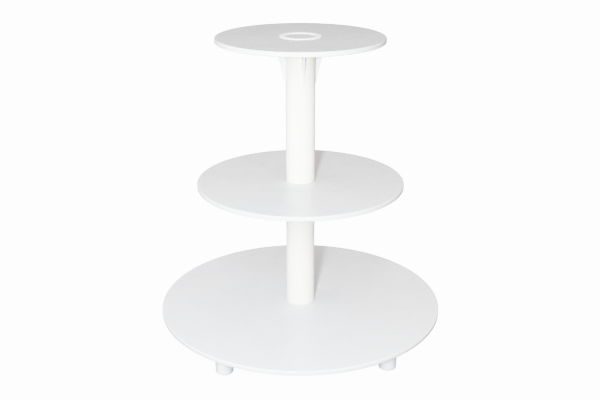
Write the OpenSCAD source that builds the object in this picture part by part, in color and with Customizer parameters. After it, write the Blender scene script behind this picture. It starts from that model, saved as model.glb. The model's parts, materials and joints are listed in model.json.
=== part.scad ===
// Three-tier cake stand: round boards on a central column that comes apart tier by tier.
// Origin: on the floor, on the column's axis. +Z up, -Y is the front.

/* [Boards] */
// Diameter of the base board
base_d = 400; // [300:5:500]
// Diameter of the middle board
middle_d = 286; // [240:1:330]
// Diameter of the top board
top_d = 226; // [180:1:260]
// Thickness of every board
board_t = 6.5; // [6:0.5:12]
// Bevel along every board's edges
board_bevel = 0.8; // [0.3:0.1:1.5]

/* [Tier heights] */
// From the base board's top face to the middle board's top face
lower_rise = 184.5; // [150:0.5:260]
// From the middle board's top face to the top board's top face
upper_rise = 198.5; // [150:0.5:260]

/* [Columns] */
// Outside diameter of the column tubes
column_d = 40; // [38:0.5:44]
// Wall of the column tubes
column_wall = 1.8; // [1.5:0.1:3]

/* [Seat ring on the top board] */
// Outside diameter of the seat ring
ring_d = 56; // [50:1:70]
// Bore of the seat ring
ring_bore_d = 40.5; // [30:0.5:44]
// Height of the seat ring
ring_h = 0.7; // [0.4:0.1:3]
// Bevel round the seat ring's top outer edge
ring_bevel = 0.3; // [0.1:0.1:0.8]

/* [Locating plugs] */
// Gap between a plug and the column around it, on the radius
plug_fit = 0.05; // [0.02:0.01:0.1]
// Height of a plug, from its board
plug_h = 30; // [20:1:45]
// Wall of a plug
plug_wall = 3; // [2:0.5:5]
// Floor of a plug
plug_floor = 4; // [3:0.5:6]

/* [Gussets] */
// Number of gussets under the top board
gusset_count = 4; // [3:1:6]
// Reach of a gusset out from the column
gusset_reach = 14; // [8:1:25]
// Height of a gusset down the column
gusset_h = 56; // [30:1:80]
// Thickness of a gusset
gusset_t = 3; // [2:0.5:5]
// Turn of the first gusset from the front, towards +X
gusset_turn = 9.5; // [0:0.5:89.5]

/* [Feet] */
// Number of feet
foot_count = 5; // [3:1:8]
// Diameter of a foot at its top
foot_d = 24; // [20:1:30]
// Height of a foot
foot_h = 21.5; // [16:0.5:30]
// Distance from the base board's rim in to a foot's axis
foot_inset = 18; // [15:1:40]
// Turn of the first foot from the front, towards +X
foot_turn = 39; // [0:1:71]

/* [Hidden] */
$fn = 128;

bolt_r = 3;
bolt_hole_r = 3.2;
nut_flats = 10;
nut_h = 5;
nut_hole_r = 3.02;
washer_r = 6;
washer_t = 1.6;

base_bolt_head_r = 6;
base_bolt_recess = 0.5;
base_bolt_socket_flats = 4;
base_bolt_socket_depth = 2.2;
middle_bolt_head_h = 4;
bolt_length_step = 5;

foot_draft = 0.3;
foot_bevel = 1;
foot_recess_r = 5;
foot_recess_depth = 10.5;
foot_screw_hole_r = 2.3;
foot_screw_bite = 5;
foot_screw_r = 2;
foot_screw_point = 2;
foot_screw_head_r = 3.9;
foot_screw_head_h = 2.4;
foot_screw_slot = [4, 0.8, 1.4];
pilot_hole_r = 2.02;
pilot_hole_depth = 5.2;
screw_head_bevel = 0.8;

plug_lead_in = 1;
gusset_tip = 2;
gusset_toe = 0.6;

hex_corner_ratio = 2 / sqrt(3);
column_r = column_d / 2;
column_bore_r = column_r - column_wall;
plug_r = column_bore_r - plug_fit;

foot_circle_r = base_d / 2 - foot_inset;
foot_screw_length = foot_h - foot_recess_depth + foot_screw_bite;

// Bolts come in whole steps of length, so each is the next one that reaches through its nut
base_grip = board_t - base_bolt_recess + plug_floor + washer_t + nut_h;
base_bolt_length = bolt_length_step * ceil(base_grip / bolt_length_step);
middle_grip = board_t + 2 * plug_floor + 2 * washer_t + nut_h;
middle_bolt_length = bolt_length_step * ceil(middle_grip / bolt_length_step);

base_z = foot_h;
base_top = base_z + board_t;
middle_top = base_top + lower_rise;
middle_z = middle_top - board_t;
top_top = middle_top + upper_rise;
top_z = top_top - board_t;

// The spoke at an angle measured from the front, -Y, towards +X
module on_spoke(angle, radius = 0) {
    rotate([0, 0, angle - 90])
        translate([radius, 0, 0])
            children();
}

module at_feet() {
    for (i = [0:foot_count - 1])
        on_spoke(foot_turn + i * 360 / foot_count, foot_circle_r)
            children();
}

// ---- Shapes that repeat ----

module board(d, z) {
    r = d / 2;
    translate([0, 0, z])
        rotate_extrude()
            polygon([
                [0, 0], [r - board_bevel, 0], [r, board_bevel],
                [r, board_t - board_bevel], [r - board_bevel, board_t], [0, board_t]
            ]);
}

module column(z, length) {
    translate([0, 0, z])
        rotate_extrude()
            translate([column_bore_r, 0])
                square([column_wall, length]);
}

// A cup with its floor at z = 0 and its mouth up
module plug() {
    bore_r = plug_r - plug_wall;
    rotate_extrude()
        polygon([
            [bolt_hole_r, 0], [plug_r, 0], [plug_r, plug_h - plug_lead_in],
            [plug_r - plug_lead_in, plug_h], [bore_r, plug_h],
            [bore_r, plug_floor], [bolt_hole_r, plug_floor]
        ]);
}

module washer(z) {
    translate([0, 0, z])
        rotate_extrude()
            translate([bolt_hole_r, 0])
                square([washer_r - bolt_hole_r, washer_t]);
}

module hexagon(flats, height) {
    cylinder(d = flats * hex_corner_ratio, h = height, $fn = 6);
}

module nut(z) {
    translate([0, 0, z])
        difference() {
            hexagon(nut_flats, nut_h);
            translate([0, 0, -1])
                cylinder(r = nut_hole_r, h = nut_h + 2);
        }
}

// ---- Base tier ----

module base_board() {
    sink_r = base_bolt_head_r + base_bolt_recess;
    color("white")
        difference() {
            board(base_d, base_z);
            translate([0, 0, base_z - 1])
                cylinder(r = bolt_hole_r, h = board_t + 2);
            translate([0, 0, base_z])
                cylinder(r1 = sink_r, r2 = bolt_hole_r, h = sink_r - bolt_hole_r);
            at_feet()
                translate([0, 0, base_z - 1])
                    cylinder(r = pilot_hole_r, h = pilot_hole_depth + 1);
        }
}

module base_plug() {
    color("ivory")
        translate([0, 0, base_top])
            plug();
}

// Countersunk, with a hex socket in its head
module base_bolt() {
    color("silver")
        translate([0, 0, base_z + base_bolt_recess])
            difference() {
                rotate_extrude()
                    polygon([
                        [0, 0], [base_bolt_head_r, 0],
                        [bolt_r, base_bolt_head_r - bolt_r],
                        [bolt_r, base_bolt_length], [0, base_bolt_length]
                    ]);
                translate([0, 0, -1])
                    hexagon(base_bolt_socket_flats, base_bolt_socket_depth + 1);
            }
}

module base_washer() {
    color("silver")
        washer(base_top + plug_floor);
}

module base_nut() {
    color("silver")
        nut(base_top + plug_floor + washer_t);
}

module foot(i) {
    top_r = foot_d / 2;
    bottom_r = top_r - foot_draft;
    color("white")
        on_spoke(foot_turn + (i - 1) * 360 / foot_count, foot_circle_r)
            rotate_extrude()
                polygon([
                    [foot_recess_r, 0], [bottom_r - foot_bevel, 0], [bottom_r, foot_bevel],
                    [top_r, foot_h], [foot_screw_hole_r, foot_h],
                    [foot_screw_hole_r, foot_recess_depth], [foot_recess_r, foot_recess_depth]
                ]);
}

// One screw, head down, with the seat under its head at z = 0 and its point up
module foot_screw() {
    shank_end = foot_screw_length - foot_screw_point;
    difference() {
        rotate_extrude()
            polygon([
                [0, -foot_screw_head_h],
                [foot_screw_head_r - screw_head_bevel, -foot_screw_head_h],
                [foot_screw_head_r, screw_head_bevel - foot_screw_head_h],
                [foot_screw_head_r, 0],
                [foot_screw_r, 0], [foot_screw_r, shank_end], [0, foot_screw_length]
            ]);
        for (turn = [0, 90])
            rotate([0, 0, turn])
                translate([0, 0, foot_screw_slot[2] / 2 - foot_screw_head_h])
                    cube(foot_screw_slot + [0, 0, 0.01], center = true);
    }
}

module foot_screws() {
    color("silver")
        at_feet()
            translate([0, 0, foot_recess_depth])
                foot_screw();
}

// ---- Lower post ----

module lower_column() {
    color("snow")
        column(base_top, middle_z - base_top);
}

// ---- Middle tier ----

module middle_board() {
    color("white")
        difference() {
            board(middle_d, middle_z);
            translate([0, 0, middle_z - 1])
                cylinder(r = bolt_hole_r, h = board_t + 2);
        }
}

module middle_plug() {
    color("ivory")
        translate([0, 0, middle_top])
            plug();
}

module under_plug() {
    color("ivory")
        translate([0, 0, middle_z])
            mirror([0, 0, 1])
                plug();
}

module middle_bolt() {
    head_z = middle_top + plug_floor + washer_t;
    color("silver") {
        translate([0, 0, head_z])
            hexagon(nut_flats, middle_bolt_head_h);
        translate([0, 0, head_z - middle_bolt_length])
            cylinder(r = bolt_r, h = middle_bolt_length);
    }
}

module middle_washers() {
    color("silver") {
        washer(middle_top + plug_floor);
        washer(middle_z - plug_floor - washer_t);
    }
}

module middle_nut() {
    color("silver")
        nut(middle_z - plug_floor - washer_t - nut_h);
}

// ---- Top tier ----

module top_board() {
    color("white")
        board(top_d, top_z);
}

// A flat ring that seats whatever is put on top
module top_ring() {
    ring_r = ring_d / 2;
    bore_r = ring_bore_d / 2;
    color("whitesmoke")
        translate([0, 0, top_top])
            rotate_extrude()
                polygon([
                    [bore_r, 0], [ring_r, 0], [ring_r, ring_h - ring_bevel],
                    [ring_r - ring_bevel, ring_h], [bore_r, ring_h]
                ]);
}

module upper_column() {
    color("snow")
        column(middle_top, top_z - middle_top);
}

// Its inner edge follows the column's round wall
module gusset(i) {
    root_r = column_r - 1;
    color("white")
        on_spoke(gusset_turn + (i - 1) * 360 / gusset_count)
            difference() {
                translate([0, gusset_t / 2, top_z])
                    rotate([90, 0, 0])
                        linear_extrude(gusset_t)
                            polygon([
                                [root_r, 0], [column_r + gusset_reach, 0],
                                [column_r + gusset_reach, -gusset_tip],
                                [column_r + gusset_toe, -gusset_h], [root_r, -gusset_h]
                            ]);
                translate([0, 0, top_z - gusset_h - 1])
                    cylinder(r = column_r, h = gusset_h + 2);
            }
}

base_board();
base_plug();
base_bolt();
base_washer();
base_nut();
foot_screws();
for (i = [1:foot_count])
    foot(i);
lower_column();
middle_board();
middle_plug();
under_plug();
middle_bolt();
middle_washers();
middle_nut();
top_board();
top_ring();
upper_column();
for (i = [1:gusset_count])
    gusset(i);
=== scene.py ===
"""Looks of the tiered cake stand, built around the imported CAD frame. Lengths are in metres."""

import json
import math

import bmesh
import bpy
from mathutils import Matrix, Vector


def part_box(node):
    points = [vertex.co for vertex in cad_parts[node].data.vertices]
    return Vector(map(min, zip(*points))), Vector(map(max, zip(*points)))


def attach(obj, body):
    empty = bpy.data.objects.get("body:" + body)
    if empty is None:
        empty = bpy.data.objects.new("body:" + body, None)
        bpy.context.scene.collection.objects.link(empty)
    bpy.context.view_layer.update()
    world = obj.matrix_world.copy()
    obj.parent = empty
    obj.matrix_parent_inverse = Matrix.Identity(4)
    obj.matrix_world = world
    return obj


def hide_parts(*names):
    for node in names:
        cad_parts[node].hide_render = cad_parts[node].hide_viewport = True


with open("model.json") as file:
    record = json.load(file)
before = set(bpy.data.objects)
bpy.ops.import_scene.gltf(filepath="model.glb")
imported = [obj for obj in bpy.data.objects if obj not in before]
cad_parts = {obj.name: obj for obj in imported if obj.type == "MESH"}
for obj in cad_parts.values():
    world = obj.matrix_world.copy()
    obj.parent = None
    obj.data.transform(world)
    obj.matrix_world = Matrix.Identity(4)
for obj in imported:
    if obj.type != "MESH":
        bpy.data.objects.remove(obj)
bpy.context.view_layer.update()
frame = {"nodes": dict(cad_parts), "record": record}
record = frame["record"]

MM = 0.001
SLOT_OF = {part["node"]: part["material_slot"] for part in record["subparts"]}
BODY_OF = {node: body for body, nodes in record["behaviour"]["bodies"].items() for node in nodes}


# ---- Sizes that the frame's boxes don't give ----

# Bolts and nuts, and the holes for them
BOLT_R = 3 * MM
BOLT_HOLE_R = 3.2 * MM
BOLT_PITCH = 1 * MM
BOLT_THREAD_DEPTH = 0.55 * MM
BOLT_HEAD_H = 4 * MM
NUT_PLAY = 0.02 * MM
NUT_LEAD = 0.5 * MM
# The flat end of a hexagon as a part of its width, and the slope of its turned corners
HEX_END = 0.97
HEX_CORNER_SLOPE = math.tan(math.radians(30))
# The base bolt's countersunk head and its socket
SINK_R = 6.5 * MM
SINK_EDGE_R = 0.2 * MM
SUNK_HEAD_BEVEL = 0.3 * MM
SUNK_HEAD_RIM = 0.25 * MM
SOCKET_FLATS = 4 * MM
SOCKET_DEPTH = 2.2 * MM
SOCKET_DRILL_TIP = 0.6 * MM
SOCKET_LEAD = 0.15 * MM

# Foot screws and the cross recess in their heads
SCREW_R = 2 * MM
SCREW_PITCH = 1.4 * MM
SCREW_THREAD_DEPTH = 0.35 * MM
SCREW_POINT = 3 * MM
SCREW_HEAD_R = 3.9 * MM
SCREW_HEAD_H = 2.4 * MM
CROSS_WIDTH = 0.9 * MM
CROSS_LENGTH = 4.2 * MM
CROSS_DEPTH = 1.6 * MM
# The cross as a part of its size on the head: 1 mm outside the head, and at its floor
CROSS_FLARE = 1.3
CROSS_TAPER = 0.6

# Plastic pieces
BOARD_EDGE_R = 1.6 * MM
# How far the boards stay inside the frame, whose round boxes are cut a little short
BOARD_SHY = 0.06 * MM
RING_BORE_R = 20.25 * MM
PLUG_PLAY = 0.05 * MM
PLUG_WALL = 3 * MM
PLUG_FLOOR = 4 * MM
FOOT_DRAFT = 0.3 * MM
FOOT_RECESS_R = 5 * MM
FOOT_RECESS_DEPTH = 10.5 * MM
FOOT_HOLE_R = 2.3 * MM
GUSSET_T = 3 * MM
GUSSET_TIP = 2 * MM
GUSSET_TOE = 0.6 * MM
GUSSET_BEVEL = 0.3 * MM

# How much each corner of an outline is rounded, in the order of the outline
RING_EDGES = [0, 0, 0.45 * MM, 0.3 * MM]
COLUMN_EDGES = [0.3 * MM] * 4
PLUG_EDGES = [0, 0.3 * MM, 1.4 * MM, 0.6 * MM, 2 * MM, 0.3 * MM]
FOOT_EDGES = [0.5 * MM, 1.2 * MM, 0.4 * MM, 0, 0.2 * MM, 0.4 * MM]
WASHER_EDGES = [0.1 * MM, 0.4 * MM, 0.2 * MM, 0.1 * MM]
SCREW_HEAD_EDGES = [0, 1.3 * MM, 0.2 * MM, 0]

# Segments round each kind of piece
BOARD_SEGMENTS = 288
TUBE_SEGMENTS = 160
PLUG_SEGMENTS = 128
FOOT_SEGMENTS = 96
BOLT_SEGMENTS = 96
WASHER_SEGMENTS = 72
SCREW_SEGMENTS = 48
THREAD_ROWS_PER_TURN = 6


# ---- Sizes read from the frame ----


def width(node):
    low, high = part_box(node)
    return max(high.x - low.x, high.y - low.y)


def height(node):
    low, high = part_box(node)
    return high.z - low.z


def middle(node):
    low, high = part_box(node)
    return (low + high) / 2


def at(x, y, z):
    return Matrix.Translation((x, y, z))


COLUMN_R = width("lower_column") / 2
PLUG_R = width("base_plug") / 2
COLUMN_BORE_R = PLUG_R + PLUG_PLAY
WASHER_T = height("base_washer")


# ---- Outlines and meshes ----


def rounded(corners, radii, steps=5):
    """The outline through the corners, each one rounded to its radius. Radius 0 keeps a corner."""
    outline = []
    count = len(corners)
    for i, radius in enumerate(radii):
        corner = Vector(corners[i])
        if radius == 0:
            outline.append(tuple(corner))
            continue
        before = (Vector(corners[i - 1]) - corner).normalized()
        after = (Vector(corners[(i + 1) % count]) - corner).normalized()
        half = before.angle(after) / 2
        centre = corner + (before + after).normalized() * (radius / math.sin(half))
        first = corner + before * (radius / math.tan(half)) - centre
        last = corner + after * (radius / math.tan(half)) - centre
        sweep = math.atan2(first.x * last.y - first.y * last.x, first.dot(last))
        for k in range(steps + 1):
            outline.append(tuple(centre + Matrix.Rotation(sweep * k / steps, 2) @ first))
    return outline


def stretched(outline, longest):
    """The outline with points added so that no side is longer than that."""
    points = []
    for a, b in zip(outline, outline[1:] + outline[:1]):
        parts = max(1, math.ceil((Vector(b) - Vector(a)).length / longest))
        points += [tuple(Vector(a).lerp(Vector(b), k / parts)) for k in range(parts)]
    return points


def skin(rings, closed=False, capped=False):
    """Vertices and faces between rings of equally many points.
    A ring whose points are all the same becomes one vertex. Closed joins the last ring to
    the first, and capped fills the first and the last ring."""
    verts, rows = [], []
    for ring in rings:
        if ring[0] == ring[1]:
            rows.append([len(verts)] * len(ring))
            verts.append(ring[0])
        else:
            rows.append(list(range(len(verts), len(verts) + len(ring))))
            verts += ring
    faces = []
    for lower, upper in zip(rows, rows[1:] + rows[:1] if closed else rows[1:]):
        for k, n in enumerate([*range(1, len(lower)), 0]):
            face = list(dict.fromkeys([lower[k], lower[n], upper[n], upper[k]]))
            if len(face) > 2:
                faces.append(face)
    if capped:
        faces += [rows[0], rows[-1]]
    return verts, faces


def circle_points(radius_at, z_at, segments):
    """A ring round Z whose radius and height may depend on the turn."""
    points = []
    for k in range(segments):
        turn = math.tau * k / segments
        radius = radius_at(turn)
        points.append((radius * math.cos(turn), radius * math.sin(turn), z_at(turn)))
    return points


def level_ring(radius, z, segments):
    """A round, level ring. Radius 0 gives the point on Z that closes a skin."""
    return circle_points(lambda turn: radius, lambda turn: z, segments)


def revolve(outline, segments, closed=True):
    """An outline of (radius, height) points turned about Z."""
    return skin([level_ring(r, z, segments) for r, z in outline], closed)


def turned(corners, edges, segments, longest=12 * MM, steps=5, closed=True):
    """A round piece from its outline's corners, with their edges rounded and long sides split."""
    return revolve(stretched(rounded(corners, edges, steps), longest), segments, closed)


def moved(shape, matrix):
    verts, faces = shape
    return [tuple(matrix @ Vector(v)) for v in verts], faces


def joined(shapes):
    verts, faces = [], []
    for shape_verts, shape_faces in shapes:
        base = len(verts)
        verts += shape_verts
        faces += [[base + v for v in face] for face in shape_faces]
    return verts, faces


def piece(name, shape, material, smooth_angle=35):
    """A mesh object with outward normals, smooth except at edges sharper than the angle."""
    mesh = bpy.data.meshes.new(name)
    mesh.from_pydata(shape[0], [], shape[1])
    mesh.validate()
    tidy = bmesh.new()
    tidy.from_mesh(mesh)
    bmesh.ops.recalc_face_normals(tidy, faces=tidy.faces)
    tidy.to_mesh(mesh)
    tidy.free()
    mesh.shade_smooth()
    mesh.set_sharp_from_angle(angle=math.radians(smooth_angle))
    obj = bpy.data.objects.new(name, mesh)
    bpy.context.scene.collection.objects.link(obj)
    weighted = obj.modifiers.new("flat_faces_stay_flat", "WEIGHTED_NORMAL")
    weighted.keep_sharp = True
    mesh.materials.append(material)
    return obj


def finished(node, shape, smooth_angle=35):
    """The detailed piece that takes a CAD node's place, on its body and in its material slot."""
    obj = piece(f"{node}_finished", shape, MATERIALS[SLOT_OF[node]], smooth_angle)
    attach(obj, BODY_OF[node])
    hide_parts(node)


# ---- Materials ----


def give(socket, value):
    """Links an output to the socket, or sets its value."""
    if isinstance(value, bpy.types.NodeSocket):
        socket.id_data.links.new(value, socket)
    else:
        socket.default_value = value


def soft_ramp(nodes, value, low, high, to_low=0.0, to_high=1.0):
    """Goes softly from one value to another as the input goes from low to high."""
    node = nodes.new("ShaderNodeMapRange")
    node.interpolation_type = "SMOOTHSTEP"
    for socket, number in zip(node.inputs, (value, low, high, to_low, to_high)):
        give(socket, number)
    return node.outputs[0]


def colour_mix(nodes, factor, first, second):
    """From the first colour to the second."""
    node = nodes.new("ShaderNodeMix")
    node.data_type = "RGBA"
    give(node.inputs[0], factor)
    for socket, colour in zip((node.inputs[6], node.inputs[7]), (first, second)):
        give(socket, (*colour, 1) if isinstance(colour, tuple) else colour)
    return node.outputs[2]


class Paint:
    """The nodes of one material, with a short call for each kind. Lengths are in metres."""

    def __init__(self, name, metallic=0.0, specular=0.5):
        self.material = bpy.data.materials.new(name)
        self.material.use_nodes = True
        self.nodes = self.material.node_tree.nodes
        self.shader = self.nodes["Principled BSDF"]
        self.shader.inputs["Metallic"].default_value = metallic
        self.shader.inputs["Specular IOR Level"].default_value = specular
        self.place = self.nodes.new("ShaderNodeTexCoord").outputs["Object"]
        self.surface = self.nodes.new("ShaderNodeNewGeometry").outputs

    def calc(self, operation, *values):
        node = self.nodes.new("ShaderNodeMath")
        node.operation = operation
        for socket, value in zip(node.inputs, values):
            give(socket, value)
        return node.outputs[0]

    def split(self, vector):
        node = self.nodes.new("ShaderNodeSeparateXYZ")
        give(node.inputs[0], vector)
        return node.outputs

    def noise(self, size, detail, turn=0.0):
        """Soft noise. Size is one length, or a length along each axis once turned about Z."""
        sizes = size if isinstance(size, tuple) else (size,) * 3
        mapping = self.nodes.new("ShaderNodeMapping")
        mapping.inputs["Rotation"].default_value = (0, 0, turn)
        mapping.inputs["Scale"].default_value = tuple(1 / s for s in sizes)
        give(mapping.inputs["Vector"], self.place)
        node = self.nodes.new("ShaderNodeTexNoise")
        node.inputs["Scale"].default_value = 1
        node.inputs["Detail"].default_value = detail
        give(node.inputs["Vector"], mapping.outputs[0])
        return node.outputs["Fac"]

    def ramp(self, value, low, high, to_low=0.0, to_high=1.0):
        return soft_ramp(self.nodes, value, low, high, to_low, to_high)

    def mix(self, factor, first, second):
        return colour_mix(self.nodes, factor, first, second)

    def bump(self, height, depth, over=None):
        node = self.nodes.new("ShaderNodeBump")
        node.inputs["Strength"].default_value = 1
        node.inputs["Distance"].default_value = depth
        give(node.inputs["Height"], height)
        if over:
            give(node.inputs["Normal"], over)
        return node.outputs["Normal"]

    def worn_edge(self, patch=6 * MM):
        """Where a convex edge is rubbed, in patches along it."""
        edge = self.ramp(self.surface["Pointiness"], 0.515, 0.58)
        return self.calc("MULTIPLY", edge, self.ramp(self.noise(patch, 3), 0.46, 0.62))

    def scratches(self, length, thickness, turns, keep=0.66):
        """Sparse fine scratches that lie in a few directions across a flat face."""
        found = 0.0
        for turn in turns:
            streak = self.ramp(self.noise((length, thickness, 1), 1, turn), keep, keep + 0.05)
            found = self.calc("MAXIMUM", found, streak)
        patch = self.ramp(self.noise(4 * length, 1), 0.48, 0.6)
        return self.calc("MULTIPLY", found, patch)

    def finish(self, colour, roughness, normal):
        give(self.shader.inputs["Base Color"], colour)
        give(self.shader.inputs["Roughness"], roughness)
        give(self.shader.inputs["Normal"], normal)
        return self.material


def board_material():
    """Satin sheet: cloudy grey-white faces with a fine grain, and whiter routed rims."""
    paint = Paint("board")
    up = paint.calc("ABSOLUTE", paint.split(paint.surface["Normal"])[2])
    face = paint.ramp(up, 0.8, 0.97)
    cloud = paint.noise(70 * MM, 3)
    mottle = paint.noise(9 * MM, 3)
    grain = paint.noise(0.9 * MM, 3)
    scratch = paint.scratches(45 * MM, 0.35 * MM, (0.5, 1.7, 2.6))
    router = paint.noise((60 * MM, 60 * MM, 0.35 * MM), 3)
    tone = paint.mix(paint.ramp(cloud, 0.35, 0.65), (0.770, 0.774, 0.788), (0.784, 0.786, 0.796))
    tone = paint.mix(paint.ramp(mottle, 0.3, 0.8, 0, 0.2), tone, (0.81, 0.81, 0.815))
    tone = paint.mix(paint.ramp(grain, 0.35, 0.75, 0, 0.1), tone, (0.69, 0.69, 0.69))
    tone = paint.mix(paint.calc("MULTIPLY", scratch, 0.2), tone, (0.9, 0.9, 0.9))
    rim = paint.mix(paint.ramp(router, 0.3, 0.7), (0.795, 0.798, 0.80), (0.825, 0.826, 0.826))
    colour = paint.mix(face, rim, tone)
    worn = paint.worn_edge()
    colour = paint.mix(paint.calc("MULTIPLY", worn, 0.3), colour, (0.72, 0.72, 0.71))
    satin = paint.ramp(cloud, 0.3, 0.7, 0.25, 0.272)
    satin = paint.calc("ADD", satin, paint.ramp(grain, 0.3, 0.7, 0, 0.04))
    satin = paint.calc("ADD", satin, paint.calc("MULTIPLY", scratch, 0.1))
    rough = paint.calc("ADD", paint.calc("MULTIPLY", face, satin), paint.ramp(face, 0, 1, 0.5, 0))
    rough = paint.calc("ADD", rough, paint.calc("MULTIPLY", worn, 0.12))
    relief = paint.calc("MULTIPLY", face, paint.calc("SUBTRACT", grain, scratch))
    lines = paint.calc("MULTIPLY", paint.ramp(face, 0, 1, 1, 0), router)
    normal = paint.bump(paint.calc("ADD", relief, lines), 0.008 * MM)
    return paint.finish(colour, rough, normal)


def column_material():
    """Extruded tube: a soft gloss with die lines along it and faint rubs across it."""
    paint = Paint("column")
    streak = paint.noise((1.1 * MM, 1.1 * MM, 90 * MM), 3)
    broad = paint.noise((25 * MM, 25 * MM, 60 * MM), 2)
    peel = paint.noise(2.5 * MM, 2)
    rub = paint.ramp(paint.noise((24 * MM, 24 * MM, 0.5 * MM), 2), 0.62, 0.7)
    rub = paint.calc("MULTIPLY", rub, paint.ramp(paint.noise(30 * MM, 1), 0.5, 0.62))
    colour = paint.mix(paint.ramp(broad, 0.35, 0.65), (0.940, 0.920, 0.862), (0.958, 0.940, 0.890))
    colour = paint.mix(paint.ramp(streak, 0.4, 0.75, 0, 0.1), colour, (0.78, 0.78, 0.76))
    colour = paint.mix(paint.calc("MULTIPLY", rub, 0.15), colour, (0.70, 0.70, 0.68))
    worn = paint.worn_edge(4 * MM)
    colour = paint.mix(paint.calc("MULTIPLY", worn, 0.3), colour, (0.74, 0.73, 0.70))
    rough = paint.ramp(streak, 0.3, 0.7, 0.24, 0.33)
    rough = paint.calc("ADD", rough, paint.calc("MULTIPLY", rub, 0.2))
    rough = paint.calc("ADD", rough, paint.calc("MULTIPLY", worn, 0.15))
    normal = paint.bump(peel, 0.02 * MM, paint.bump(streak, 0.012 * MM))
    return paint.finish(colour, rough, normal)


def ring_material():
    """Turned ring: bright satin white with fine grooves round it."""
    paint = Paint("ring", specular=0.4)
    x, y, _ = paint.split(paint.place)
    squares = paint.calc("ADD", paint.calc("MULTIPLY", x, x), paint.calc("MULTIPLY", y, y))
    radius = paint.calc("SQRT", squares)
    wobble = paint.calc("MULTIPLY", paint.noise(6 * MM, 2), 0.5 * MM)
    groove_width = 0.45 * MM
    turns = paint.calc("MULTIPLY", paint.calc("ADD", radius, wobble), math.tau / groove_width)
    groove = paint.calc("SINE", turns)
    grain = paint.noise(0.8 * MM, 3)
    cloud = paint.noise(12 * MM, 2)
    colour = paint.mix(paint.ramp(cloud, 0.35, 0.65), (0.965, 0.967, 0.97), (0.98, 0.98, 0.985))
    colour = paint.mix(paint.ramp(groove, 0.2, 1, 0, 0.05), colour, (0.75, 0.75, 0.75))
    worn = paint.worn_edge(3 * MM)
    colour = paint.mix(paint.calc("MULTIPLY", worn, 0.2), colour, (0.78, 0.78, 0.77))
    rough = paint.ramp(grain, 0.3, 0.7, 0.4, 0.5)
    rough = paint.calc("ADD", rough, paint.calc("MULTIPLY", worn, 0.2))
    normal = paint.bump(grain, 0.006 * MM, paint.bump(groove, 0.002 * MM))
    return paint.finish(colour, rough, normal)


def gusset_material():
    """Sawn sheet: satin, with fine saw lines and a few cloudy patches."""
    paint = Paint("gusset")
    saw = paint.noise((3 * MM, 3 * MM, 0.3 * MM), 3)
    cloud = paint.noise(14 * MM, 3)
    grain = paint.noise(0.7 * MM, 2)
    colour = paint.mix(paint.ramp(cloud, 0.35, 0.65), (0.94, 0.94, 0.938), (0.96, 0.96, 0.957))
    colour = paint.mix(paint.ramp(saw, 0.5, 0.8, 0, 0.12), colour, (0.74, 0.74, 0.74))
    worn = paint.worn_edge(3 * MM)
    colour = paint.mix(paint.calc("MULTIPLY", worn, 0.3), colour, (0.74, 0.74, 0.73))
    rough = paint.ramp(cloud, 0.3, 0.7, 0.32, 0.42)
    rough = paint.calc("ADD", rough, paint.ramp(grain, 0.3, 0.7, 0, 0.08))
    normal = paint.bump(saw, 0.015 * MM, paint.bump(grain, 0.01 * MM))
    return paint.finish(colour, rough, normal)


def plug_material():
    """Moulded off-white plastic, rubbed along its wall by the column."""
    paint = Paint("plug")
    grain = paint.noise(0.8 * MM, 3)
    flow = paint.noise((16 * MM, 16 * MM, 5 * MM), 3)
    rub = paint.ramp(paint.noise((0.9 * MM, 0.9 * MM, 18 * MM), 2), 0.56, 0.68)
    colour = paint.mix(paint.ramp(flow, 0.35, 0.65), (0.80, 0.79, 0.745), (0.835, 0.825, 0.79))
    colour = paint.mix(paint.calc("MULTIPLY", rub, 0.35), colour, (0.70, 0.69, 0.65))
    worn = paint.worn_edge(3 * MM)
    colour = paint.mix(paint.calc("MULTIPLY", worn, 0.35), colour, (0.66, 0.65, 0.61))
    rough = paint.ramp(grain, 0.3, 0.7, 0.4, 0.5)
    rough = paint.calc("ADD", rough, paint.calc("MULTIPLY", rub, -0.12))
    normal = paint.bump(grain, 0.025 * MM, paint.bump(rub, -0.01 * MM))
    return paint.finish(colour, rough, normal)


def foot_material():
    """Moulded satin plastic, scuffed grey where it stands."""
    paint = Paint("foot")
    grain = paint.noise(0.7 * MM, 3)
    cloud = paint.noise(9 * MM, 3)
    z = paint.split(paint.place)[2]
    low = paint.ramp(z, 0.2 * MM, 3.5 * MM, 1, 0)
    rubbed = paint.ramp(paint.noise((3 * MM, 3 * MM, 0.8 * MM), 3), 0.42, 0.62)
    scuff = paint.calc("MULTIPLY", low, rubbed)
    colour = paint.mix(paint.ramp(cloud, 0.35, 0.65), (0.79, 0.79, 0.79), (0.82, 0.82, 0.825))
    colour = paint.mix(paint.ramp(grain, 0.35, 0.75, 0, 0.1), colour, (0.72, 0.72, 0.72))
    colour = paint.mix(paint.calc("MULTIPLY", scuff, 0.45), colour, (0.50, 0.49, 0.47))
    worn = paint.worn_edge(3 * MM)
    colour = paint.mix(paint.calc("MULTIPLY", worn, 0.3), colour, (0.70, 0.70, 0.69))
    rough = paint.ramp(grain, 0.3, 0.7, 0.4, 0.5)
    rough = paint.calc("ADD", rough, paint.calc("MULTIPLY", scuff, 0.2))
    normal = paint.bump(grain, 0.03 * MM, paint.bump(scuff, -0.03 * MM))
    return paint.finish(colour, rough, normal)


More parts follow.
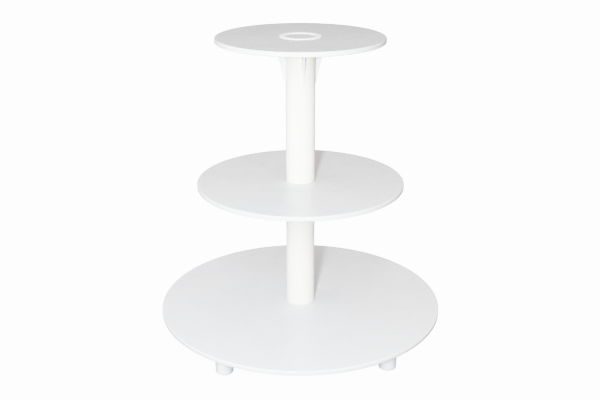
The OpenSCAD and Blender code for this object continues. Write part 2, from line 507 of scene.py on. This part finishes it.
def fastener_material():
    """Zinc-plated steel: cloudy grey metal with fine drawn lines and bright, rubbed edges."""
    paint = Paint("fastener", metallic=1.0)
    cloud = paint.noise(2.5 * MM, 3)
    drawn = paint.noise((0.25 * MM, 0.25 * MM, 3 * MM), 2)
    colour = paint.mix(paint.ramp(cloud, 0.35, 0.65), (0.58, 0.60, 0.62), (0.76, 0.76, 0.73))
    worn = paint.worn_edge(1.5 * MM)
    colour = paint.mix(paint.calc("MULTIPLY", worn, 0.5), colour, (0.84, 0.84, 0.83))
    rough = paint.ramp(cloud, 0.3, 0.7, 0.26, 0.4)
    rough = paint.calc("ADD", rough, paint.ramp(drawn, 0.3, 0.7, 0, 0.08))
    normal = paint.bump(drawn, 0.008 * MM)
    return paint.finish(colour, rough, normal)


MATERIALS = {
    "board": board_material(),
    "column": column_material(),
    "ring": ring_material(),
    "gusset": gusset_material(),
    "plug": plug_material(),
    "foot": foot_material(),
    "fastener": fastener_material(),
}


# ---- Pieces ----


def board_shape(node):
    """A round board, with the bolt's hole through it where there is one."""
    r, t = width(node) / 2 - BOARD_SHY, height(node)
    rim, rim_edges = [(r, 0), (r, t)], [BOARD_EDGE_R, BOARD_EDGE_R]
    if node == "top_board":
        corners, edges = [(0, 0), *rim, (0, t)], [0, *rim_edges, 0]
    elif node == "middle_board":
        corners, edges = [(BOLT_HOLE_R, 0), *rim, (BOLT_HOLE_R, t)], [0, *rim_edges, 0]
    else:
        corners = [(SINK_R, 0), *rim, (BOLT_HOLE_R, t), (BOLT_HOLE_R, SINK_R - BOLT_HOLE_R)]
        edges = [SINK_EDGE_R, *rim_edges, 0, 0]
    shape = turned(corners, edges, BOARD_SEGMENTS, steps=8, closed=node != "top_board")
    return moved(shape, at(0, 0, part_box(node)[0].z))


def ring_shape(node):
    r, h = width(node) / 2, height(node)
    corners = [(RING_BORE_R, 0), (r, 0), (r, h), (RING_BORE_R, h)]
    shape = turned(corners, RING_EDGES, TUBE_SEGMENTS, longest=2.5 * MM)
    return moved(shape, at(0, 0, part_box(node)[0].z))


def column_shape(node):
    h = height(node)
    corners = [(COLUMN_BORE_R, 0), (COLUMN_R, 0), (COLUMN_R, h), (COLUMN_BORE_R, h)]
    shape = turned(corners, COLUMN_EDGES, TUBE_SEGMENTS, steps=3)
    return moved(shape, at(0, 0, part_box(node)[0].z))


def plug_shape(node, upside_down=False):
    """A cup with the bolt's hole in its floor."""
    low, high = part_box(node)
    h, bore = height(node), PLUG_R - PLUG_WALL
    corners = [
        (BOLT_HOLE_R, 0),
        (PLUG_R, 0),
        (PLUG_R, h),
        (bore, h),
        (bore, PLUG_FLOOR),
        (BOLT_HOLE_R, PLUG_FLOOR),
    ]
    shape = turned(corners, PLUG_EDGES, PLUG_SEGMENTS, longest=6 * MM)
    if upside_down:
        return moved(shape, at(0, 0, high.z) @ Matrix.Rotation(math.pi, 4, "X"))
    return moved(shape, at(0, 0, low.z))


def washer_shape(node, z):
    r = width(node) / 2
    corners = [(BOLT_HOLE_R, 0), (r, 0), (r, WASHER_T), (BOLT_HOLE_R, WASHER_T)]
    return moved(turned(corners, WASHER_EDGES, WASHER_SEGMENTS, steps=3), at(0, 0, z))


def hexagon_radius(flats):
    """The radius of a hexagon at each turn, with a corner on +X."""
    return lambda turn: flats / 2 / math.cos((turn % (math.pi / 3)) - math.pi / 6)


def hexagon_rings(flats, h):
    """A hexagon with its corners turned off top and bottom."""
    corner_r = hexagon_radius(flats)
    end_r = flats / 2 * HEX_END

    def drop(turn):
        return (corner_r(turn) - end_r) * HEX_CORNER_SLOPE

    return [
        level_ring(end_r, 0, BOLT_SEGMENTS),
        circle_points(corner_r, drop, BOLT_SEGMENTS),
        circle_points(corner_r, lambda turn: h - drop(turn), BOLT_SEGMENTS),
        level_ring(end_r, h, BOLT_SEGMENTS),
    ]


def threaded_rod_rings(foot, r, pitch, length, depth, segments, point=0):
    """Rings up a rod with a helical V thread, from z = foot to the middle of its end.
    Point is the length of its tapered end. A rod with no point has its last turn bevelled."""
    rows = math.ceil(length / pitch * THREAD_ROWS_PER_TURN)
    rings = [level_ring(r, foot, segments)]
    for row in range(1, rows + 1):
        up = length * row / rows
        taper = (length - up) / point if point else 0.75 + (length - up) / pitch / 4

        def radius(turn, up=up, taper=min(1, taper)):
            phase = (up / pitch - turn / math.tau) % 1
            return max(0.05 * MM, (r - depth * abs(2 * phase - 1)) * taper)

        rings.append(circle_points(radius, lambda turn, z=foot + up: z, segments))
    return [*rings, level_ring(0, foot + length, segments)]


def foot_shape(node):
    h, top_r = height(node), width(node) / 2
    corners = [
        (FOOT_RECESS_R, 0),
        (top_r - FOOT_DRAFT, 0),
        (top_r, h),
        (FOOT_HOLE_R, h),
        (FOOT_HOLE_R, FOOT_RECESS_DEPTH),
        (FOOT_RECESS_R, FOOT_RECESS_DEPTH),
    ]
    shape = turned(corners, FOOT_EDGES, FOOT_SEGMENTS, longest=4 * MM)
    centre = middle(node)
    return moved(shape, at(centre.x, centre.y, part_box(node)[0].z))


def gusset_shape(node):
    """A fin that stands on the column's round wall, drawn along +X under z = 0."""
    centre = middle(node)
    spoke = Vector((centre.x, centre.y, 0)).normalized()
    outer = max(v.co.dot(spoke) for v in frame["nodes"][node].data.vertices)
    h, half, edge = height(node), GUSSET_T / 2, GUSSET_BEVEL
    layers = []
    for y, inset in ((-half, edge), (edge - half, 0), (0, 0), (half - edge, 0), (half, edge)):
        root = math.sqrt(COLUMN_R**2 - y * y)
        side = [
            (root, 0),
            (outer - inset, 0),
            (outer - inset, -GUSSET_TIP),
            (COLUMN_R + GUSSET_TOE - inset / 2, inset - h),
            (root, inset - h),
        ]
        layers.append([(x, y, z) for x, z in side])
    turn = Matrix.Rotation(math.atan2(spoke.y, spoke.x), 4, "Z")
    return moved(skin(layers, capped=True), at(0, 0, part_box(node)[1].z) @ turn)


def cross_bar(x_size, y_size):
    """One bar of the cross that is cut into a screw's head, narrower towards its floor."""
    layers = []
    for z, k in ((-MM, CROSS_FLARE), (0, 1), (CROSS_DEPTH, CROSS_TAPER)):
        x, y = x_size * k / 2, y_size * k / 2
        layers.append([(u, v, z - SCREW_HEAD_H) for u, v in ((-x, -y), (x, -y), (x, y), (-x, y))])
    return skin(layers, capped=True)


def screws_shape(node):
    """Pan-head screws, one in each foot, with a cross recess cut into each head."""
    low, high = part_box(node)
    head = rounded(
        [(0, -SCREW_HEAD_H), (SCREW_HEAD_R, -SCREW_HEAD_H), (SCREW_HEAD_R, 0), (SCREW_R, 0)],
        SCREW_HEAD_EDGES,
    )
    length = high.z - low.z - SCREW_HEAD_H
    shank = threaded_rod_rings(
        0, SCREW_R, SCREW_PITCH, length, SCREW_THREAD_DEPTH, SCREW_SEGMENTS, SCREW_POINT
    )
    blank = skin([level_ring(r, z, SCREW_SEGMENTS) for r, z in head[:-1]] + shank)
    solid = piece("screw_blank", blank, MATERIALS["fastener"])
    cutters = []
    for sizes in ((CROSS_WIDTH, CROSS_LENGTH), (CROSS_LENGTH, CROSS_WIDTH)):
        cutters.append(piece("cross_bar", cross_bar(*sizes), MATERIALS["fastener"]))
        cut = solid.modifiers.new("cut", "BOOLEAN")
        cut.operation = "DIFFERENCE"
        cut.object = cutters[-1]
    solid.modifiers.remove(solid.modifiers["flat_faces_stay_flat"])
    depsgraph = bpy.context.evaluated_depsgraph_get()
    ready = bpy.data.meshes.new_from_object(solid.evaluated_get(depsgraph))
    screw = ([tuple(v.co) for v in ready.vertices], [list(f.vertices) for f in ready.polygons])
    for scrap in (solid, *cutters):
        bpy.data.objects.remove(scrap)
    places = [middle(n) for n in SLOT_OF if n.startswith("foot_") and n != node]
    return joined([moved(screw, at(p.x, p.y, low.z + SCREW_HEAD_H)) for p in places])


def base_bolt_shape(node):
    """A countersunk bolt with a hex socket in its head, thread up."""
    low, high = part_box(node)
    head_r = width(node) / 2
    head_h = head_r - BOLT_R
    socket = hexagon_radius(SOCKET_FLATS)
    head = [
        level_ring(0, SOCKET_DEPTH + SOCKET_DRILL_TIP, BOLT_SEGMENTS),
        circle_points(socket, lambda turn: SOCKET_DEPTH, BOLT_SEGMENTS),
        circle_points(socket, lambda turn: SOCKET_LEAD, BOLT_SEGMENTS),
        circle_points(lambda turn: socket(turn) + SOCKET_LEAD, lambda turn: 0, BOLT_SEGMENTS),
        level_ring(head_r - SUNK_HEAD_BEVEL, 0, BOLT_SEGMENTS),
        level_ring(head_r, SUNK_HEAD_RIM, BOLT_SEGMENTS),
    ]
    length = high.z - low.z - head_h
    shank = threaded_rod_rings(
        head_h, BOLT_R, BOLT_PITCH, length, BOLT_THREAD_DEPTH, BOLT_SEGMENTS
    )
    return moved(skin(head + shank), at(0, 0, low.z))


def middle_bolt_shape(node):
    """A hex-head bolt, thread down."""
    low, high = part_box(node)
    flats = min(high.x - low.x, high.y - low.y)
    head = [level_ring(0, 0, BOLT_SEGMENTS), *hexagon_rings(flats, BOLT_HEAD_H)]
    length = high.z - low.z - BOLT_HEAD_H
    shank = threaded_rod_rings(
        BOLT_HEAD_H, BOLT_R, BOLT_PITCH, length, BOLT_THREAD_DEPTH, BOLT_SEGMENTS
    )
    return moved(skin(head + shank), at(0, 0, high.z) @ Matrix.Rotation(math.pi, 4, "X"))


def nut_shape(node):
    low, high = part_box(node)
    flats = min(high.x - low.x, high.y - low.y)
    h, bore = high.z - low.z, BOLT_R + NUT_PLAY
    mouth = bore + NUT_LEAD
    hole = [(mouth, h), (bore, h - NUT_LEAD), (bore, NUT_LEAD), (mouth, 0)]
    rings = hexagon_rings(flats, h) + [level_ring(r, z, BOLT_SEGMENTS) for r, z in hole]
    return moved(skin(rings, closed=True), at(0, 0, low.z))


for name in SLOT_OF:
    if name.endswith("_board"):
        finished(name, board_shape(name))
    elif name.endswith("_ring"):
        finished(name, ring_shape(name))
    elif name.endswith("_column"):
        finished(name, column_shape(name))
    elif name.endswith("_plug"):
        finished(name, plug_shape(name, upside_down=name == "under_plug"))
    elif name.endswith("_nut"):
        finished(name, nut_shape(name), smooth_angle=25)
    elif name.startswith("gusset_"):
        finished(name, gusset_shape(name))
    elif name.startswith("foot_") and name != "foot_screws":
        finished(name, foot_shape(name))

finished("base_washer", washer_shape("base_washer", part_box("base_washer")[0].z))
washers_low, washers_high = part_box("middle_washers")
washer_places = (washers_low.z, washers_high.z - WASHER_T)
finished("middle_washers", joined([washer_shape("middle_washers", z) for z in washer_places]))
finished("base_bolt", base_bolt_shape("base_bolt"), smooth_angle=25)
finished("middle_bolt", middle_bolt_shape("middle_bolt"), smooth_angle=25)
finished("foot_screws", screws_shape("foot_screws"), smooth_angle=30)


# ---- Floor, lights and camera ----

FLOOR_R = 14
FLOOR_NEAR_R = 1
FLOOR_SEGMENTS = 96
FLOOR_ALBEDO = 0.3
# How bright the floor and the backdrop look to the camera
FLOOR_SEEN = 1.36
BACKDROP_SEEN = 1.54
# How much light the object gets from the floor, and from the room in front of it and behind it,
# near the horizon and higher up
FLOOR_GLOW = 0.375
FRONT_LOW = 0.05
FRONT_HIGH = 0.71
BACK_LOW = 0.31
BACK_HIGH = 0.8
# How high up the room reaches its higher level, and how far to either side its front and back mix,
# as parts of a direction of length 1
HIGH_FROM = 0.6
MIX_WIDTH = 0.5
LEFT_TINT = (1.005, 1.0, 1.01)
RIGHT_TINT = (1.06, 1.0, 0.96)
KEY_TINT = (0.94, 1.0, 1.035)
WHITE = (1.0, 1.0, 1.0)
KEY_POWER = 8.7
TALL_POWER = 4.9
LEFT_POWER = 1.4
RIGHT_POWER = 0.3

# The camera stands in front, above the top board, and looks down at a point near the column's axis
AIM = Vector((-0.0006, 0, 0.1821))
CAMERA_ELEVATION = math.radians(20.43)
CAMERA_DISTANCE = 1.214
CAMERA_REACH = 60
LENS_MM = 51.99
SENSOR_MM = 36.0

# Light above the shoulder rolls off softly up to the curve's white, as in a camera
SHOULDER = 0.7
CURVE_WHITE = 2.0
CURVE_STEPS = 12
CURVE_SPACING = 1.5


def is_camera_ray(nodes):
    return nodes.new("ShaderNodeLightPath").outputs["Is Camera Ray"]


def seen_or_lighting(nodes, seen, lighting):
    """What the camera sees, or else what lights the object."""
    node = nodes.new("ShaderNodeMix")
    give(node.inputs[0], is_camera_ray(nodes))
    give(node.inputs[2], lighting)
    give(node.inputs[3], seen)
    return node.outputs[0]


# The floor is a white sheet that glows, so that only soft contact shadows show on it
floor_outline = [(0, 0), (FLOOR_NEAR_R, 0), (FLOOR_R, 0)]
floor_verts, floor_faces = revolve(floor_outline, FLOOR_SEGMENTS, closed=False)
floor_mesh = bpy.data.meshes.new("floor")
floor_mesh.from_pydata(floor_verts, [], [face[::-1] for face in floor_faces])
floor = bpy.data.objects.new("floor", floor_mesh)
bpy.context.scene.collection.objects.link(floor)
floor_mat = bpy.data.materials.new("floor")
floor_mat.use_nodes = True
floor_nodes = floor_mat.node_tree.nodes
floor_shader = floor_nodes["Principled BSDF"]
floor_shader.inputs["Base Color"].default_value = (FLOOR_ALBEDO, FLOOR_ALBEDO, FLOOR_ALBEDO, 1)
floor_shader.inputs["Roughness"].default_value = 1
floor_shader.inputs["Specular IOR Level"].default_value = 0
floor_shader.inputs["Emission Color"].default_value = (*WHITE, 1)
glow = seen_or_lighting(floor_nodes, FLOOR_SEEN, FLOOR_GLOW)
give(floor_shader.inputs["Emission Strength"], glow)
# From below the floor is clear, so that the underside can be looked at
clear = floor_nodes.new("ShaderNodeBsdfTransparent")
two_sided = floor_nodes.new("ShaderNodeMixShader")
give(two_sided.inputs[0], floor_nodes.new("ShaderNodeNewGeometry").outputs["Backfacing"])
give(two_sided.inputs[1], floor_shader.outputs[0])
give(two_sided.inputs[2], clear.outputs[0])
give(floor_nodes["Material Output"].inputs["Surface"], two_sided.outputs[0])
floor_mesh.materials.append(floor_mat)

# A room that is brighter high up and behind the object than low in front, and a little warmer on
# the right. To the camera it is plain white.
world = bpy.data.worlds.new("studio")
world.use_nodes = True
world_nodes = world.node_tree.nodes
direction = world_nodes.new("ShaderNodeSeparateXYZ")
give(direction.inputs[0], world_nodes.new("ShaderNodeTexCoord").outputs["Generated"])
front = soft_ramp(world_nodes, direction.outputs["Z"], 0, HIGH_FROM, FRONT_LOW, FRONT_HIGH)
behind = soft_ramp(world_nodes, direction.outputs["Z"], 0, HIGH_FROM, BACK_LOW, BACK_HIGH)
room = soft_ramp(world_nodes, direction.outputs["Y"], -MIX_WIDTH, MIX_WIDTH, front, behind)
side = world_nodes.new("ShaderNodeMapRange")
side.inputs["From Min"].default_value = -1
give(side.inputs[0], direction.outputs["X"])
tint = colour_mix(world_nodes, side.outputs[0], LEFT_TINT, RIGHT_TINT)
tint = colour_mix(world_nodes, is_camera_ray(world_nodes), tint, WHITE)
background = world_nodes["Background"]
give(background.inputs["Color"], tint)
give(background.inputs["Strength"], seen_or_lighting(world_nodes, BACKDROP_SEEN, room))
bpy.context.scene.world = world

# The floor keeps its even white, so the lamps pass it by
unlit = bpy.data.collections.new("not_lit_by_lamps")
unlit.objects.link(floor)
unlit.collection_objects[0].light_linking.link_state = "EXCLUDE"


def area_light(name, place, target, size, power, colour=WHITE, glossy=True):
    """A soft lamp of one width and height. The camera never sees it, and reflections may."""
    data = bpy.data.lights.new(name, "AREA")
    data.shape = "ELLIPSE" if size[0] == size[1] else "RECTANGLE"
    data.size, data.size_y = size
    data.energy = power
    data.color = colour
    light = bpy.data.objects.new(name, data)
    light.location = place
    light.rotation_euler = (Vector(target) - Vector(place)).to_track_quat("-Z", "Y").to_euler()
    light.visible_camera = False
    light.visible_glossy = glossy
    light.light_linking.receiver_collection = unlit
    bpy.context.scene.collection.objects.link(light)


area_light("key", (-0.12, -1.16, 0.595), AIM, (0.09, 0.09), KEY_POWER, KEY_TINT, glossy=False)
area_light("key_above", (-0.12, -1.16, 0.88), AIM, (0.09, 0.5), TALL_POWER, KEY_TINT, glossy=False)
area_light("left", (-0.85, -0.1, 0.4), (0, -0.1, 0.2), (1.4, 0.8), LEFT_POWER)
area_light("right", (0.7, 0, 0.2), (0, 0, 0.2), (1.2, 0.4), RIGHT_POWER)

camera_data = bpy.data.cameras.new("camera")
camera_data.lens = LENS_MM
camera_data.sensor_width = SENSOR_MM
camera_data.clip_end = CAMERA_REACH
camera = bpy.data.objects.new("camera", camera_data)
toward_camera = Vector((0, -math.cos(CAMERA_ELEVATION), math.sin(CAMERA_ELEVATION)))
camera.location = AIM + toward_camera * CAMERA_DISTANCE
camera.rotation_euler = (math.pi / 2 - CAMERA_ELEVATION, 0, 0)
bpy.context.scene.collection.objects.link(camera)
bpy.context.scene.camera = camera


def shown(light):
    """How bright an amount of light above the shoulder comes out."""
    return 1 - (1 - SHOULDER) * math.exp(-(light - SHOULDER) / (1 - SHOULDER))


view = bpy.context.scene.view_settings
view.view_transform = "Standard"
view.look = "None"
view.use_curve_mapping = True
tones = view.curve_mapping
tones.white_level = (CURVE_WHITE,) * 3
curve = tones.curves[3]
curve.points[0].location = (0, 0)
curve.points[-1].location = (1, shown(CURVE_WHITE))
curve.points.new(SHOULDER / CURVE_WHITE, SHOULDER)
for k in range(1, CURVE_STEPS):
    light = SHOULDER + (CURVE_WHITE - SHOULDER) * (k / CURVE_STEPS) ** CURVE_SPACING
    curve.points.new(light / CURVE_WHITE, shown(light))
for point in curve.points:
    point.handle_type = "VECTOR"
tones.update()
